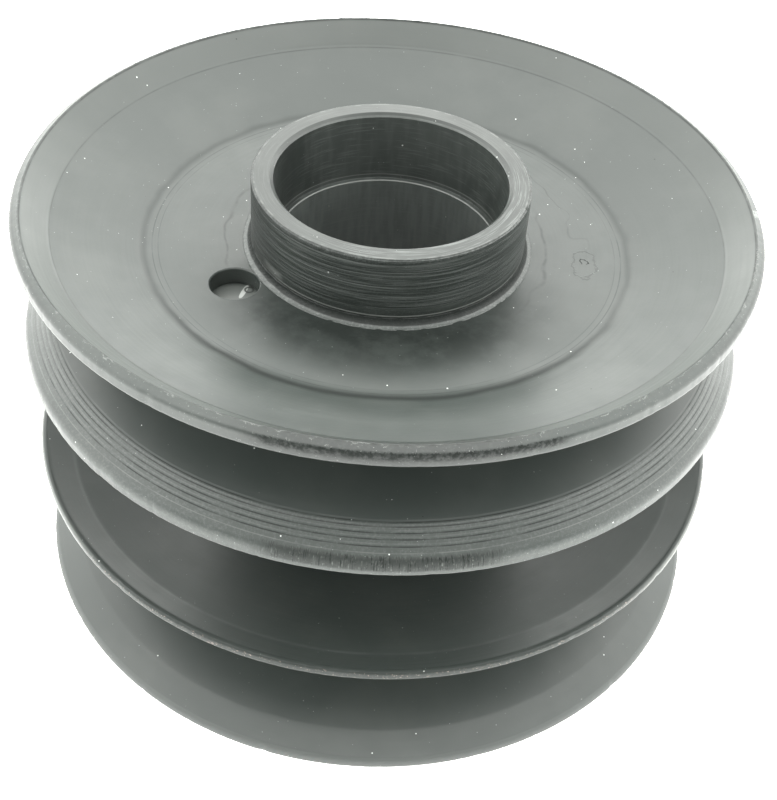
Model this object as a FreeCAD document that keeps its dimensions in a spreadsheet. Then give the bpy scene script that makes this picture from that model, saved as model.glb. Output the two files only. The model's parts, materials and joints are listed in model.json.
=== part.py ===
import FreeCAD, Part
import os
import Sketcher

# Double-groove V-belt pulley: two pressed-steel sheaves welded on one turned hub tube.
# Frame: +Z along the pulley's axis, origin on the axis at the hub's lower end face. Millimetres.

DIMENSIONS = (
    # the hub tube
    ("hub_length", 84.0, "hub tube, end to end"),
    ("hub_radius", 23.8, "outside of the hub tube"),
    ("bore_radius", 19.0, "through bore between the two bearing seats"),
    ("seat_radius", 20.0, "bearing seat at each end"),
    ("seat_depth", 13.4, "bearing seat, mouth to ledge"),
    ("mouth_chamfer", 0.7, "lead-in chamfer of each seat"),
    ("end_chamfer", 0.25, "outer chamfer of each hub end"),
    ("ledge_chamfer", 0.15, "inner corner of each seat ledge"),
    # common to all four pressed flanges
    ("rim_radius", 63.5, "outside of every flange"),
    ("flank_angle", 20.0, "belt flank to the groove's middle plane, degrees"),
    ("crease_bend", 6.0, "inside bend radius between web and flank"),
    # upper sheave
    ("upper_plane", 67.8, "height of the upper groove's middle plane"),
    ("upper_sheet", 3.2, "sheet thickness"),
    ("upper_crease", 40.8, "radius where the flat web turns into the flank"),
    ("upper_flare_start", 57.4, "radius where the flank turns into the flared rim"),
    ("upper_flare_angle", 41.4, "flared rim to the middle plane, degrees"),
    ("upper_flare_bend", 1.5, "inside bend radius between flank and flare"),
    ("upper_land_width", 1.5, "narrow land along the rim's edge"),
    ("upper_land_fall", 0.7, "how far the land falls towards the outside"),
    ("upper_top_groove_round", 1.0, "groove-side corner of the top flange's rim"),
    ("upper_top_dish_round", 1.6, "outer dish-side corner of the top flange's rim"),
    ("upper_bottom_groove_round", 2.0, "groove-side corner of the bottom flange's rim"),
    ("upper_bottom_dish_round", 0.4, "outer dish-side corner of the bottom flange's rim"),
    # lower sheave
    ("lower_plane", 17.55, "height of the lower groove's middle plane"),
    ("lower_sheet", 2.0, "sheet thickness"),
    ("lower_crease", 32.6, "radius where the flat web turns into the flank"),
    ("lower_flare_start", 57.8, "radius where the flank turns into the flared rim"),
    ("lower_flare_angle", 26.0, "flared rim to the middle plane, degrees"),
    ("lower_flare_bend", 4.0, "inside bend radius between flank and flare"),
    ("lower_land_width", 0.9, "narrow land along the rim's edge"),
    ("lower_land_fall", 0.0, "the land is level"),
    ("lower_top_groove_round", 1.3, "groove-side corner of the top flange's rim"),
    ("lower_top_dish_round", 0.5, "outer dish-side corner of the top flange's rim"),
    ("lower_bottom_groove_round", 1.3, "groove-side corner of the bottom flange's rim"),
    ("lower_bottom_dish_round", 0.7, "outer dish-side corner of the bottom flange's rim"),
    # locating hole through the topmost web
    ("hole_radius", 4.15, "locating hole"),
    ("hole_offset_x", -24.95, "hole centre from the axis along X"),
    ("hole_offset_y", -15.59, "hole centre from the axis along Y"),
    # weld rings between the hub and the webs
    ("weld_reach", 1.4, "weld ring along the web"),
    ("weld_rise", 1.4, "weld ring up the hub"),
    ("weld_face_radius", 1.5, "hollow face of the weld ring"),
)
SHEET = "Dimensions"
MATCH = 0.02  # how closely an edge has to lie on its corner to be picked

doc = FreeCAD.newDocument("double_belt_pulley")


def make_dimension_sheet():
    sheet = doc.addObject("Spreadsheet::Sheet", SHEET)
    for row, (alias, value, meaning) in enumerate(DIMENSIONS, start=1):
        sheet.set(f"A{row}", alias)
        sheet.set(f"B{row}", str(value))
        sheet.set(f"C{row}", meaning)
        sheet.setAlias(f"B{row}", alias)
    doc.recompute()
    return sheet


def dim(alias):
    return f"{SHEET}.{alias}"


def value_of(expression):
    """The number that an expression over the sheet's cells stands for."""
    result = sheet.evalExpression(expression)
    return float(getattr(result, "Value", result))


def new_body(name, plane=None, turned_over=False):
    """A body on the pulley's axis, at a middle plane's height if one is named."""
    body = doc.addObject("PartDesign::Body", name)
    body.Label = name
    if turned_over:
        about_x = FreeCAD.Rotation(FreeCAD.Vector(1, 0, 0), 180)
        body.Placement = FreeCAD.Placement(FreeCAD.Vector(0, 0, 0), about_x)
    if plane:
        body.setExpression("Placement.Base.z", dim(plane))
    return body


def new_sketch(body, name, role):
    sketch = body.newObject("Sketcher::SketchObject", name)
    plane = next(item for item in body.Origin.OriginFeatures if item.Role == role)
    sketch.AttachmentSupport = [(plane, "")]
    sketch.MapMode = "FlatFace"
    return sketch


def pin_vertex(sketch, line, name, radius, height):
    """Fix the start of a sketch line at a radius and a height given as expressions."""
    radial = sketch.addConstraint(
        Sketcher.Constraint("DistanceX", -1, 1, line, 1, value_of(radius)))
    sketch.renameConstraint(radial, f"{name}_radius")
    sketch.setExpression(f"Constraints.{name}_radius", radius)
    if height == "0":
        sketch.addConstraint(Sketcher.Constraint("PointOnObject", line, 1, -1))
        return
    vertical = sketch.addConstraint(
        Sketcher.Constraint("DistanceY", -1, 1, line, 1, value_of(height)))
    sketch.renameConstraint(vertical, f"{name}_height")
    sketch.setExpression(f"Constraints.{name}_height", height)


def draw_outline(sketch, corners):
    """Close straight lines through corners, each a (name, radius, height)."""
    points = [FreeCAD.Vector(value_of(r), value_of(z), 0) for _, r, z in corners]
    count = len(points)
    for index in range(count):
        ends = points[index], points[(index + 1) % count]
        sketch.addGeometry(Part.LineSegment(*ends), False)
    for index in range(count):
        sketch.addConstraint(
            Sketcher.Constraint("Coincident", index, 2, (index + 1) % count, 1))
    for index, (name, radius, height) in enumerate(corners):
        pin_vertex(sketch, index, name, radius, height)


def revolve(body, sketch, name):
    turned = body.newObject("PartDesign::Revolution", name)
    turned.Profile = sketch
    turned.ReferenceAxis = (sketch, ["V_Axis"])
    turned.Angle = 360
    doc.recompute()
    return turned


def ring_edges(feature, corners):
    """Names of the circular edges that run through the given (radius, height) corners."""
    wanted = [(value_of(radius), value_of(height)) for radius, height in corners]
    found = []
    for index, edge in enumerate(feature.Shape.Edges, start=1):
        if not isinstance(edge.Curve, Part.Circle):
            continue
        at = edge.Curve.Center.z
        if any(abs(edge.Curve.Radius - r) < MATCH and abs(at - z) < MATCH for r, z in wanted):
            found.append(f"Edge{index}")
    if len(found) != len(wanted):
        raise RuntimeError(f"{feature.Name}: {len(found)} of {len(wanted)} ring edges found")
    return found


def round_rings(body, base, name, corners, radius):
    fillet = body.newObject("PartDesign::Fillet", name)
    fillet.Base = (base, ring_edges(base, corners))
    fillet.setExpression("Radius", radius)
    doc.recompute()
    return fillet


def chamfer_rings(body, base, name, corners, size):
    chamfer = body.newObject("PartDesign::Chamfer", name)
    chamfer.Base = (base, ring_edges(base, corners))
    chamfer.setExpression("Size", size)
    doc.recompute()
    return chamfer


def make_hub():
    """Turned tube with a bearing seat, a ledge and chamfers at each end."""
    body = new_body("hub")
    outer, seat, bore = dim("hub_radius"), dim("seat_radius"), dim("bore_radius")
    top = dim("hub_length")
    low_ledge = dim("seat_depth")
    high_ledge = f"{top} - {low_ledge}"
    sketch = new_sketch(body, "hub_profile", "XZ_Plane")
    draw_outline(sketch, (
        ("low_outer", outer, "0"),
        ("high_outer", outer, top),
        ("high_mouth", seat, top),
        ("high_seat_end", seat, high_ledge),
        ("high_ledge", bore, high_ledge),
        ("low_ledge", bore, low_ledge),
        ("low_seat_end", seat, low_ledge),
        ("low_mouth", seat, "0"),
    ))
    turned = revolve(body, sketch, "hub_turned")
    mouths = chamfer_rings(
        body, turned, "hub_mouths", ((seat, "0"), (seat, top)), dim("mouth_chamfer"))
    ends = chamfer_rings(
        body, mouths, "hub_ends", ((outer, "0"), (outer, top)), dim("end_chamfer"))
    chamfer_rings(
        body, ends, "hub_ledges", ((bore, low_ledge), (bore, high_ledge)), dim("ledge_chamfer"))
    return body


def make_flange(name, level, side, turned_over=False):
    """Pressed disc: flat web, conical belt flank and flared rim, the web standing on z = 0.

    The groove side faces down and the dish side up. The groove-side corners are the
    dish-side ones moved square to the sheet by its thickness."""
    sheet_t = dim(f"{level}_sheet")
    hub, rim = dim("hub_radius"), dim("rim_radius")
    flank, flare = dim("flank_angle"), dim(f"{level}_flare_angle")
    crease, bend = dim(f"{level}_crease"), dim(f"{level}_flare_start")

    bend_z = f"({sheet_t} + ({bend} - {crease}) * tan({flank}))"
    land_r = f"({rim} - {dim(f'{level}_land_width')})"
    land_z = f"({bend_z} + ({land_r} - {bend}) * tan({flare}))"
    edge_z = f"({land_z} - {dim(f'{level}_land_fall')})"
    mean, half_turn = f"(({flank} + {flare}) / 2)", f"(({flare} - {flank}) / 2)"
    groove_crease = f"({crease} + {sheet_t} * tan({flank} / 2))"
    groove_bend = f"({bend} + {sheet_t} * sin({mean}) / cos({half_turn}))"
    groove_bend_z = f"({bend_z} - {sheet_t} * cos({mean}) / cos({half_turn}))"
    groove_edge_z = f"({groove_bend_z} + ({rim} - {groove_bend}) * tan({flare}))"

    body = new_body(name, f"{level}_plane", turned_over)
    sketch = new_sketch(body, f"{name}_profile", "XZ_Plane")
    draw_outline(sketch, (
        ("groove_hub", hub, "0"),
        ("groove_crease", groove_crease, "0"),
        ("groove_bend", groove_bend, groove_bend_z),
        ("groove_edge", rim, groove_edge_z),
        ("dish_edge", rim, edge_z),
        ("dish_land", land_r, land_z),
        ("dish_bend", bend, bend_z),
        ("dish_crease", crease, sheet_t),
        ("dish_hub", hub, sheet_t),
    ))
    turned = revolve(body, sketch, f"{name}_pressed")
    roundings = (
        ("inner_crease", crease, sheet_t, dim("crease_bend")),
        ("outer_crease", groove_crease, "0", f"{dim('crease_bend')} + {sheet_t}"),
        ("inner_flare", bend, bend_z, dim(f"{level}_flare_bend")),
        ("outer_flare", groove_bend, groove_bend_z, f"{dim(f'{level}_flare_bend')} + {sheet_t}"),
        ("groove_rim", rim, groove_edge_z, dim(f"{level}_{side}_groove_round")),
        ("dish_rim", rim, edge_z, dim(f"{level}_{side}_dish_round")),
    )
    for part, radius, height, rounding in roundings:
        turned = round_rings(body, turned, f"{name}_{part}", ((radius, height),), rounding)
    return body


def drill_locating_hole(body):
    """One hole through the web, close beside the hub."""
    sketch = new_sketch(body, "locating_hole_centre", "XY_Plane")
    x, y, radius = dim("hole_offset_x"), dim("hole_offset_y"), dim("hole_radius")
    centre = FreeCAD.Vector(value_of(x), value_of(y), 0)
    sketch.addGeometry(Part.Circle(centre, FreeCAD.Vector(0, 0, 1), value_of(radius)), False)
    for kind, name, expression in (("DistanceX", "across", x), ("DistanceY", "along", y)):
        index = sketch.addConstraint(
            Sketcher.Constraint(kind, -1, 1, 0, 3, value_of(expression)))
        sketch.renameConstraint(index, name)
        sketch.setExpression(f"Constraints.{name}", expression)
    index = sketch.addConstraint(Sketcher.Constraint("Radius", 0, value_of(radius)))
    sketch.renameConstraint(index, "hole")
    sketch.setExpression("Constraints.hole", radius)
    solid_before = body.Shape.Volume
    pocket = body.newObject("PartDesign::Pocket", "locating_hole")
    pocket.Profile = sketch
    pocket.Type = "ThroughAll"
    pocket.Reversed = True
    doc.recompute()
    if body.Shape.Volume >= solid_before:
        raise RuntimeError("the locating hole cuts nothing")


def make_weld(name, level, turned_over=False):
    """Ring of weld metal in the corner between the hub and a flange's dish side."""
    sheet_t, hub = dim(f"{level}_sheet"), dim("hub_radius")
    toe_r = f"({hub} + {dim('weld_reach')})"
    head_z = f"({sheet_t} + {dim('weld_rise')})"
    body = new_body(name, f"{level}_plane", turned_over)
    sketch = new_sketch(body, f"{name}_profile", "XZ_Plane")
    corner = FreeCAD.Vector(value_of(hub), value_of(sheet_t), 0)
    toe = FreeCAD.Vector(value_of(toe_r), value_of(sheet_t), 0)
    head = FreeCAD.Vector(value_of(hub), value_of(head_z), 0)
    hollow = (toe + head) * 0.5 - (toe + head - corner * 2) * 0.188
    sketch.addGeometry(Part.LineSegment(head, corner), False)
    sketch.addGeometry(Part.LineSegment(corner, toe), False)
    sketch.addGeometry(Part.Arc(head, hollow, toe), False)
    pin_vertex(sketch, 0, "head", hub, head_z)
    pin_vertex(sketch, 1, "corner", hub, sheet_t)
    sketch.addConstraint(Sketcher.Constraint("Coincident", 0, 2, 1, 1))
    sketch.addConstraint(Sketcher.Constraint("Coincident", 1, 2, 2, 2))
    sketch.addConstraint(Sketcher.Constraint("Coincident", 2, 1, 0, 1))
    sketch.addConstraint(Sketcher.Constraint("Horizontal", 1))
    reach = sketch.addConstraint(
        Sketcher.Constraint("DistanceX", 1, 1, 1, 2, value_of(dim("weld_reach"))))
    sketch.renameConstraint(reach, "reach")
    sketch.setExpression("Constraints.reach", dim("weld_reach"))
    face = sketch.addConstraint(
        Sketcher.Constraint("Radius", 2, value_of(dim("weld_face_radius"))))
    sketch.renameConstraint(face, "face")
    sketch.setExpression("Constraints.face", dim("weld_face_radius"))
    revolve(body, sketch, f"{name}_laid")
    return body


def check_document():
    for item in doc.Objects:
        if "Invalid" in item.State or "Error" in item.State:
            raise RuntimeError(f"{item.Name} failed: {item.State}")


def export(bodies):
    os.makedirs("parts", exist_ok=True)
    for body in bodies:
        if body.Shape.isNull() or not body.Shape.isValid() or len(body.Shape.Solids) != 1:
            raise RuntimeError(f"{body.Label} is not one valid solid")
        body.Shape.exportStep(f"parts/{body.Label}.step")
        print(f"{body.Label}: {body.Shape.Volume:.0f} mm3")


sheet = make_dimension_sheet()
pieces = [make_hub()]
for level in ("upper", "lower"):
    for side, turned_over in (("top", False), ("bottom", True)):
        pieces.append(make_flange(f"{level}_sheave_{side}_flange", level, side, turned_over))
        pieces.append(make_weld(f"{level}_sheave_{side}_weld", level, turned_over))
drill_locating_hole(next(piece for piece in pieces if piece.Label == "upper_sheave_top_flange"))
doc.recompute()
check_document()
export(pieces)
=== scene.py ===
import json
import math

import bmesh
import bpy
import numpy as np
from mathutils import Matrix, Vector


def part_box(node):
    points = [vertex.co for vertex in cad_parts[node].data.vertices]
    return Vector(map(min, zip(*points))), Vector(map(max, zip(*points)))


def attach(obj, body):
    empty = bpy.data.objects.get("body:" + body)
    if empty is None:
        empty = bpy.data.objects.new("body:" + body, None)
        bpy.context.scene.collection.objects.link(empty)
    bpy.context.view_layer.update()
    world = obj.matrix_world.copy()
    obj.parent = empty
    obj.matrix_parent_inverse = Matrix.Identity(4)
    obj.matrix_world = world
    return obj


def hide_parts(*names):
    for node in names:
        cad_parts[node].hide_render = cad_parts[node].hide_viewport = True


# Looks of the double-groove V-belt pulley: black paint over two pressed sheaves on a turned hub.
# Lengths are in millimetres until a mesh is made; the frame, and Blender, are in metres.

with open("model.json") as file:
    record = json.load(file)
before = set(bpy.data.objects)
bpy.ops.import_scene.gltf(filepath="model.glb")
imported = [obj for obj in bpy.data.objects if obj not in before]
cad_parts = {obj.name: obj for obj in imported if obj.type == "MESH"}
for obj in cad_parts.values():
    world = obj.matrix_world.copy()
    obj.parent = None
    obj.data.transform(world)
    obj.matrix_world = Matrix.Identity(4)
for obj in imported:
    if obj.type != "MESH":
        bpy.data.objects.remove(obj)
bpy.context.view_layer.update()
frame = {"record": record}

MM = 0.001
FULL_TURN = 2 * math.pi

# ---------------------------------------------------------------- sizes

LEVELS = {
    "upper": {
        "sheet": 3.2,
        "crease": 40.8,
        "flare_start": 57.4,
        "flare_angle": 41.4,
        "flare_bend": 1.5,
        "land_width": 1.5,
        "land_fall": 0.7,
    },
    "lower": {
        "sheet": 2.0,
        "crease": 32.6,
        "flare_start": 57.8,
        "flare_angle": 26.0,
        "flare_bend": 4.0,
        "land_width": 0.9,
        "land_fall": 0.0,
    },
}
FLANK_ANGLE = 20.0
CREASE_BEND = 6.0
RIM_ROUNDS = {
    "upper_sheave_top_flange": (1.0, 0.9),
    "upper_sheave_bottom_flange": (2.0, 0.4),
    "lower_sheave_top_flange": (1.3, 0.5),
    "lower_sheave_bottom_flange": (1.3, 0.7),
}
LAND_EDGE_ROUND = 0.12
HIDDEN_EDGE_ROUND = 0.1

MOUTH_CHAMFER = 0.7
END_CHAMFER = 0.25
LEDGE_CHAMFER = 0.15
TURNED_EDGE_ROUND = 0.06

WELD_REACH = 1.4
WELD_RISE = 1.4
WELD_FACE_RADIUS = 1.5

COARSE_TURN = 360
FINE_TURN = 3 * COARSE_TURN
FINE_FROM = 61.9
HUB_TURN = 432
HUB_HIDDEN_TURN = 144
HUB_FINE_ABOVE = 60.0
HUB_SHOWS_FROM = 70.5
BEAD_TURN = 720
BEAD_POINTS = 13
BEAD_BURIED = 0.25
ARC_STEP = math.radians(14)

HOLE_ROUND = 0.35
HOLE_MOUTH_SWEEP = 72
HOLE_TURN = 128
CRISP_TURN = math.radians(12)


def node_box(node):
    """Lowest and highest corner of a CAD node, in millimetres."""
    low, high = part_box(node)
    return low / MM, high / MM


def record_mount(name):
    return next(item for item in frame["record"]["mounts"] if item["name"] == name)


# ---------------------------------------------------------------- turned shapes


def unit(vector):
    return vector / np.linalg.norm(vector)


def rounded_corner(before, corner, after, radius, step):
    """Points of the arc that rounds a corner of an outline, or the corner itself."""
    if radius == 0:
        return [corner]
    back, ahead = unit(before - corner), unit(after - corner)
    half = math.acos(np.clip(back @ ahead, -1, 1)) / 2
    cut = radius / math.tan(half)
    centre = corner + unit(back + ahead) * radius / math.sin(half)
    start, end = corner + back * cut - centre, corner + ahead * cut - centre
    sweep = math.atan2(start[0] * end[1] - start[1] * end[0], start @ end)
    count = max(3, math.ceil(abs(sweep) / ARC_STEP), math.ceil(radius * abs(sweep) / step))
    points = []
    for angle in np.linspace(0, sweep, count + 1):
        cos, sin = math.cos(angle), math.sin(angle)
        turned = np.array((start[0] * cos - start[1] * sin, start[0] * sin + start[1] * cos))
        points.append(centre + turned)
    return points


def run_points(start, end, step, hold=0.12):
    """Points strictly between two ends, close to each end and evenly between."""
    length = np.linalg.norm(end - start)
    if length < 4 * hold:
        return []
    inner = np.linspace(hold, length - hold, max(2, math.ceil((length - 2 * hold) / step) + 1))
    return [start + (end - start) * (along / length) for along in inner]


def outline(corners):
    """Closed outline through corners (radius, height, rounding, run name, step).

    Each corner's run name and step belong to the straight run that leaves it."""
    count = len(corners)
    places = [np.array(corner[:2], float) for corner in corners]
    arcs = []
    for index, corner in enumerate(corners):
        before, after = places[index - 1], places[(index + 1) % count]
        arcs.append(rounded_corner(before, places[index], after, corner[2], corner[4]))
    rings = []
    for index, corner in enumerate(corners):
        following = arcs[(index + 1) % count]
        for point in arcs[index] + run_points(arcs[index][-1], following[0], corner[4]):
            rings.append((point[0], point[1], corner[3]))
    return rings


def outline_normals(rings):
    """Unit normals of a closed outline that keeps its metal on the left."""
    places = np.array([ring[:2] for ring in rings])
    along = np.roll(places, -1, 0) - places
    along /= np.linalg.norm(along, axis=1)[:, None]
    tangents = along + np.roll(along, 1, 0)
    tangents /= np.linalg.norm(tangents, axis=1)[:, None]
    return np.stack((tangents[:, 1], -tangents[:, 0]), 1)


def turned_over(rings, level):
    """An outline mirrored about its own zero height and lifted to a level."""
    return [(r, level - z, run) for r, z, run in reversed(rings)]


def lifted(rings, level):
    return [(r, level + z, run) for r, z, run in rings]


def quads_between(first, second, count):
    index = np.arange(count)
    after = (index + 1) % count
    return np.stack((first + index, first + after, second + after, second + index), 1).tolist()


def fan_between(first, second, count, other):
    """Faces between a ring of count points and one of other points, one a multiple of the other."""
    faces = []
    few, many = min(count, other), max(count, other)
    ratio = many // few
    for index in range(few):
        after = (index + 1) % few
        fine = [(index * ratio + k) % many for k in range(ratio + 1)]
        if count < other:
            faces.append([first + index, first + after] + [second + k for k in reversed(fine)])
        else:
            faces.append([first + k for k in fine] + [second + after, second + index])
    return faces


def turn(name, rings, turn_count, relief):
    """Mesh object of an outline turned about Z.

    turn_count(r, z, run) is the number of points round a ring, and relief(r, z, run, azimuth)
    moves its points square to the surface, in millimetres."""
    normals = outline_normals(rings)
    points, starts, counts = [], [], []
    total = 0
    for (r, z, run), normal in zip(rings, normals):
        count = turn_count(r, z, run)
        azimuth = np.arange(count) * FULL_TURN / count
        lift = relief(r, z, run, azimuth)
        radius = r + normal[0] * lift
        height = z + normal[1] * lift
        points.append(np.stack((radius * np.cos(azimuth), radius * np.sin(azimuth), height), 1))
        starts.append(total)
        counts.append(count)
        total += count
    faces = []
    for index in range(len(rings)):
        after = (index + 1) % len(rings)
        first, second = starts[index], starts[after]
        if counts[index] == counts[after]:
            faces += quads_between(first, second, counts[index])
        else:
            faces += fan_between(first, second, counts[index], counts[after])
    mesh = bpy.data.meshes.new(name)
    mesh.from_pydata((np.concatenate(points) * MM).tolist(), [], faces)
    mesh.polygons.foreach_set("use_smooth", [True] * len(mesh.polygons))
    piece = bpy.data.objects.new(name, mesh)
    bpy.context.scene.collection.objects.link(piece)
    return piece


# ---------------------------------------------------------------- unevenness


def ripple(azimuth, seed, lowest, highest):
    """Smooth seeded waviness round a ring, about -1 to 1, from waves in a range of counts."""
    source = np.random.RandomState(seed)
    total = np.zeros_like(azimuth)
    waves = range(lowest, highest + 1)
    for wave in waves:
        total += source.normal() * np.cos(wave * azimuth + source.uniform(0, FULL_TURN))
    return total / math.sqrt(len(waves))


def groove(distance, depth, width):
    """A rounded scratch across a surface, at a distance from its middle."""
    return -depth * np.exp(-((distance / width) ** 2))


# ---------------------------------------------------------------- outlines


def hub_outline(radius, length, seat_radius, bore_radius, ledge):
    low, high = ledge, length - ledge
    fine, plain = 0.11, 3.0
    edge = TURNED_EDGE_ROUND
    return outline((
        (radius, END_CHAMFER, edge, "low_side", plain),
        (radius, HUB_SHOWS_FROM, 0, "side", fine),
        (radius, length - END_CHAMFER, edge, "high_end", 0.2),
        (radius - END_CHAMFER, length, edge, "high_face", 0.25),
        (seat_radius + MOUTH_CHAMFER, length, edge, "high_mouth", 0.3),
        (seat_radius, length - MOUTH_CHAMFER, edge, "high_seat", plain),
        (seat_radius, high, edge, "high_ledge", 0.4),
        (bore_radius + LEDGE_CHAMFER, high, edge, "high_lip", 0.2),
        (bore_radius, high - LEDGE_CHAMFER, edge, "bore", plain),
        (bore_radius, low + LEDGE_CHAMFER, edge, "low_lip", 0.2),
        (bore_radius + LEDGE_CHAMFER, low, edge, "low_ledge", 0.4),
        (seat_radius, low, edge, "low_seat", plain),
        (seat_radius, MOUTH_CHAMFER, edge, "low_mouth", 0.3),
        (seat_radius + MOUTH_CHAMFER, 0, edge, "low_face", 0.5),
        (radius - END_CHAMFER, 0, edge, "low_end", 0.2),
    ))


def flange_outline(hub_radius, rim_radius, level, rounds, groove_side_up):
    """Pressed disc standing on zero height, groove side down and dish side up.

    The side that is looked at from above gets the closer steps."""
    size = LEVELS[level]
    groove_round, dish_round = rounds
    groove_step, dish_step = (0.14, 0.6) if groove_side_up else (0.6, 0.3)
    flank, flare = math.radians(FLANK_ANGLE), math.radians(size["flare_angle"])
    sheet, crease, bend = size["sheet"], size["crease"], size["flare_start"]
    bend_z = sheet + (bend - crease) * math.tan(flank)
    land_r = rim_radius - size["land_width"]
    land_z = bend_z + (land_r - bend) * math.tan(flare)
    edge_z = land_z - size["land_fall"]
    mean, half_turn = (flank + flare) / 2, (flare - flank) / 2
    groove_crease = crease + sheet * math.tan(flank / 2)
    groove_bend = bend + sheet * math.sin(mean) / math.cos(half_turn)
    groove_bend_z = bend_z - sheet * math.cos(mean) / math.cos(half_turn)
    groove_edge_z = groove_bend_z + (rim_radius - groove_bend) * math.tan(flare)
    return outline((
        (hub_radius, 0, HIDDEN_EDGE_ROUND, "groove_web", 2.0),
        (groove_crease, 0, CREASE_BEND + sheet, "groove_flank", 1.2),
        (groove_bend, groove_bend_z, size["flare_bend"] + sheet, "groove_flare", groove_step),
        (rim_radius, groove_edge_z, groove_round, "edge", 0.16),
        (rim_radius, edge_z, dish_round, "land", 0.12),
        (land_r, land_z, LAND_EDGE_ROUND, "dish_flare", dish_step),
        (bend, bend_z, size["flare_bend"], "dish_flank", 1.2),
        (crease, sheet, CREASE_BEND, "dish_web", 1.0),
        (hub_radius, sheet, HIDDEN_EDGE_ROUND, "bore", 1.0),
    ))


def weld_outline(hub_radius, sheet):
    """Ring of weld metal with a hollow face, between hub and web and a little into both."""
    corner = np.array((hub_radius, sheet))
    toe, head = np.array((WELD_REACH, 0.0)), np.array((0.0, WELD_RISE))
    half = np.linalg.norm(head - toe) / 2
    middle = (toe + head) / 2 + unit(toe + head) * math.sqrt(WELD_FACE_RADIUS ** 2 - half ** 2)
    start = math.atan2(*(toe - middle)[::-1])
    sweep = 2 * math.asin(half / WELD_FACE_RADIUS)
    rings = []
    for turned in np.linspace(start, start - sweep, BEAD_POINTS):
        point = corner + middle + WELD_FACE_RADIUS * np.array((math.cos(turned), math.sin(turned)))
        rings.append((point[0], point[1], "bead"))
    rings.append((hub_radius - BEAD_BURIED, sheet + WELD_RISE - 0.1, "root"))
    rings.append((hub_radius - BEAD_BURIED, sheet - BEAD_BURIED, "root"))
    rings.append((hub_radius + WELD_REACH - 0.1, sheet - BEAD_BURIED, "root"))
    return rings


# ---------------------------------------------------------------- pieces

hub_low, hub_high = node_box("hub")
HUB_RADIUS = hub_high.x
HUB_LENGTH = hub_high.z - hub_low.z
RIM_RADIUS = node_box("upper_sheave_top_flange")[1].x

SEAT_RADIUS = record_mount("bearing_seat_top")["dims"]["r_mm"]
SEAT_DEPTH = record_mount("bearing_seat_top")["dims"]["length_mm"] + MOUTH_CHAMFER
BORE_RADIUS = record_mount("shaft_bore")["dims"]["r_mm"]
TOP_WEB = node_box("upper_sheave_top_flange")[0].z + LEVELS["upper"]["sheet"]
HOLE_PLACE = [value / MM for value in record_mount("locating_hole")["pos_m"][:2]]

FRONT = -90

# Marks on the hub. A turning line: noise scale along the axis, round it, threshold and share.
HUB_MARKS = 40
FEED_LINE = 72.8
HUB_NICK = {"heading": math.radians(-16.7), "width": 0.3, "depth": 0.3}
# A painted reflection, a soft pale spot low on the hub's left side.
REFLECTION_SPOT = {"heading": -142.0, "reach": 8.0, "height": 73.6, "half_height": 1.1}
TURNING_LINES = ((3.3, 0.9, 0.57, 0.45), (6.5, 1.6, 0.56, 0.55), (12.0, 2.6, 0.57, 0.6))

# Radii and heights of the marks on the discs.
FLARE_GROOVE = 57.5
LAND_START = 62.0
CREASE_GROOVE = 41.7
CREASE_LINES = ((40.75, 0.16, 0.6), (39.75, 0.14, 0.4))
FLARE_LINES = ((57.35, 0.15, 0.5), (61.75, 0.17, 0.9))
TIDE_RADIUS = 28.0
SECOND_TIDE_RADIUS = 34.0
BLISTER_PLACE = (34.3, -3.6)
BLISTER_HALF = (2.1, 4.2)
DISC_TWO_RINGS = (58.5, 59.15, 59.9, 60.6, 61.4)
DISC_THREE_GROOVE = 62.6
SHEARED_TOP = 80.42
RIM_ONE_CORNER = 78.12
RIM_TWO_CORNER = 55.12
CHIP_AT = 0.8
CHIP_REACH = 1.15


def scattered(seed, count, *ranges):
    """Seeded rows of random values, one value per range in each row."""
    source = np.random.RandomState(seed)
    return [[source.uniform(low, high) for low, high in ranges] for _ in range(count)]


# Height, depth, half width, heading of the faintest place and how much the mark fades there.
TOOL_MARKS = scattered(
    11, HUB_MARKS, (73.6, 83.4), (0.01, 0.035), (0.1, 0.18), (0, FULL_TURN), (0.2, 0.9))


def hub_relief(r, z, run, azimuth):
    """Tool marks of the lathe down the outside of the hub, each fading round the turn."""
    lift = 0.0 * azimuth
    if run == "side":
        for height, depth, width, heading, fade in TOOL_MARKS:
            strength = 1 - fade * (0.5 + 0.5 * np.cos(azimuth - heading))
            lift += groove(z - height, depth, width) * strength
        lift += groove(z - FEED_LINE, 0.03, 0.12) + groove(z - FEED_LINE + 0.3, 0.02, 0.1)
        lift -= 0.002 * np.abs(ripple(azimuth, int(z * 40), 1, 4))
    if run == "high_face":
        lift -= 0.005 * np.abs(ripple(azimuth, int(r * 30), 1, 5))
    near_top = math.exp(-((HUB_LENGTH - z) / 0.5) ** 2) * math.exp(-((HUB_RADIUS - r) / 0.5) ** 2)
    if run in ("side", "high_end", "high_face"):
        lift -= near_top * 0.03 * np.clip(ripple(azimuth, 5, 30, 190) - 0.3, 0, 1.5)
        lift -= near_top * dent(azimuth, HUB_NICK["heading"], HUB_NICK["width"] / r, HUB_NICK["depth"])
    return lift


def turned_distance(azimuth, heading):
    """How far round the turn, the short way, from a heading."""
    return np.abs((azimuth - heading + math.pi) % FULL_TURN - math.pi)


def dent(azimuth, heading, reach, depth):
    return depth * np.exp(-((turned_distance(azimuth, heading) / reach) ** 2))


def make_hub():
    rings = hub_outline(HUB_RADIUS, HUB_LENGTH, SEAT_RADIUS, BORE_RADIUS, SEAT_DEPTH)
    return turn("hub_body", rings, hub_turn, hub_relief)


def hub_turn(r, z, run):
    return HUB_TURN if z > HUB_FINE_ABOVE else HUB_HIDDEN_TURN


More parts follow.
